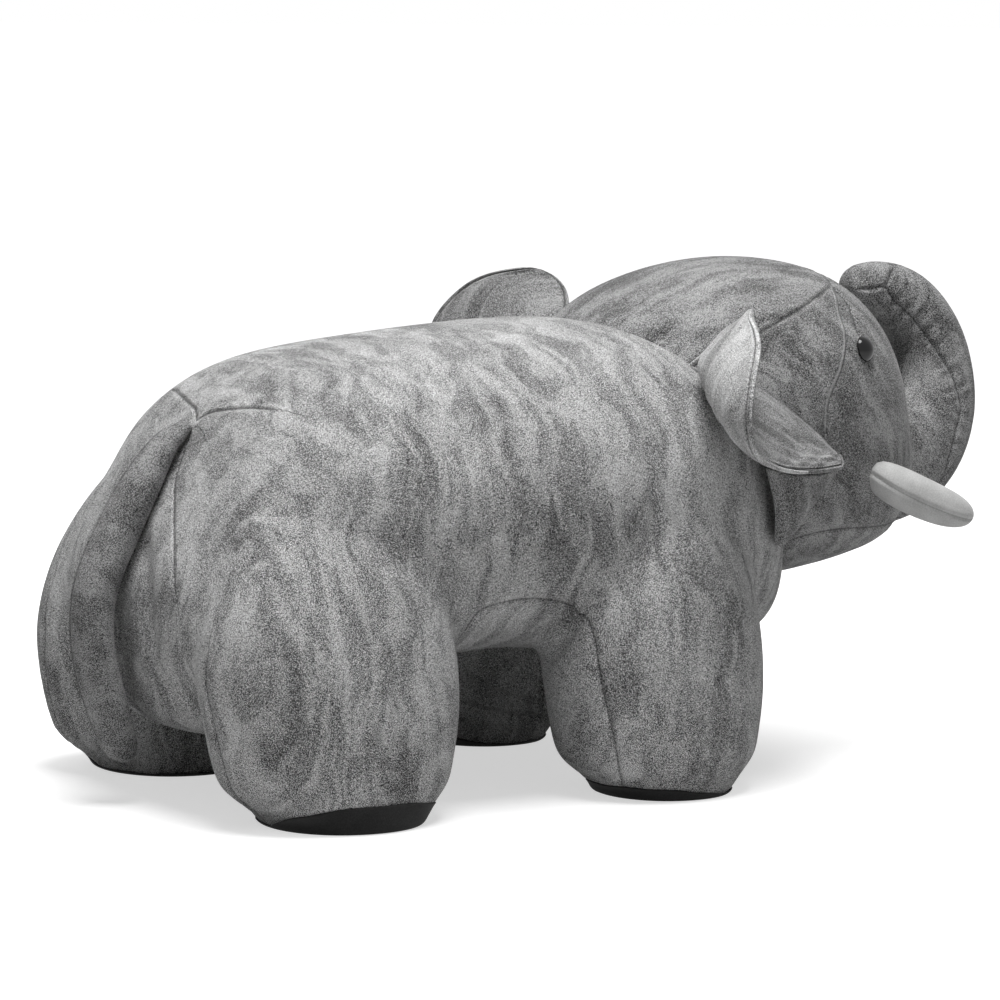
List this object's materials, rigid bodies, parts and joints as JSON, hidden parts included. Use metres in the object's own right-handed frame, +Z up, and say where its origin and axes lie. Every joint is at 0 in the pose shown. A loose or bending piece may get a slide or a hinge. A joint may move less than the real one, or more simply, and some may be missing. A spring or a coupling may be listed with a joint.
{
  "type": "upholstered animal stool",
  "caption": "Upholstered stool shaped as a stuffed elephant with a curled trunk, tusks, cupped padded ears, a hanging tail and stout legs on dark soles.",
  "frame": {"origin": "on the floor, under the middle of the whole length and width", "axes": "+X is the way the elephant faces, +Y is its left side and +Z is up"},
  "size_m": [0.9101, 0.5622, 0.441],
  "materials": {
    "marbled_microsuede": "short matt nap with a soft marbled pattern",
    "black_sole_cloth": "plain matt cloth",
    "pale_tusk_cloth": "smooth fine cloth",
    "black_eye": "polished dome",
    "foam": "open cell foam",
    "plywood": "bare birch ply",
    "softwood": "bare planed pine"
  },
  "bodies": {
    "stool": {"body": "marbled_microsuede", "ear_fold_left": "marbled_microsuede", "ear_fold_right": "marbled_microsuede", "end_rail_fore": "softwood", "end_rail_hind": "softwood", "eye_left": "black_eye", "eye_right": "black_eye", "foot_board_fore_left": "plywood", "foot_board_fore_right": "plywood", "foot_board_hind_left": "plywood", "foot_board_hind_right": "plywood", "head": "marbled_microsuede", "leg_fore_left": "marbled_microsuede", "leg_fore_right": "marbled_microsuede", "leg_hind_left": "marbled_microsuede", "leg_hind_right": "marbled_microsuede", "leg_post_fore_left": "softwood", "leg_post_fore_right": "softwood", "leg_post_hind_left": "softwood", "leg_post_hind_right": "softwood", "seat_board": "plywood", "seat_pad": "foam", "side_rail_left": "softwood", "side_rail_right": "softwood", "sole_fore_left": "black_sole_cloth", "sole_fore_right": "black_sole_cloth", "sole_hind_left": "black_sole_cloth", "sole_hind_right": "black_sole_cloth", "trunk": "marbled_microsuede", "tusk_left": "pale_tusk_cloth", "tusk_right": "pale_tusk_cloth"},
    "ear_right": {"ear_right": "marbled_microsuede"},
    "ear_left": {"ear_left": "marbled_microsuede"},
    "tail": {"tail": "marbled_microsuede"}
  },
  "joints": [
    {"name": "ear_right_swing", "type": "hinge", "parent": "stool", "child": "ear_right", "pos_m": [0.1429, -0.144, 0.326], "axis": [0.8296, -0.1711, -0.5314], "range_deg": [-24, 10], "stiffness_Nm_per_rad": 2},
    {"name": "ear_left_swing", "type": "hinge", "parent": "stool", "child": "ear_left", "pos_m": [0.1429, 0.144, 0.326], "axis": [-0.8296, -0.1711, 0.5314], "range_deg": [-24, 10], "stiffness_Nm_per_rad": 2},
    {"name": "tail_swing", "type": "hinge", "parent": "stool", "child": "tail", "pos_m": [-0.3496, 0, 0.3145], "axis": [0, 1, 0], "range_deg": [0, 70]}
  ]
}
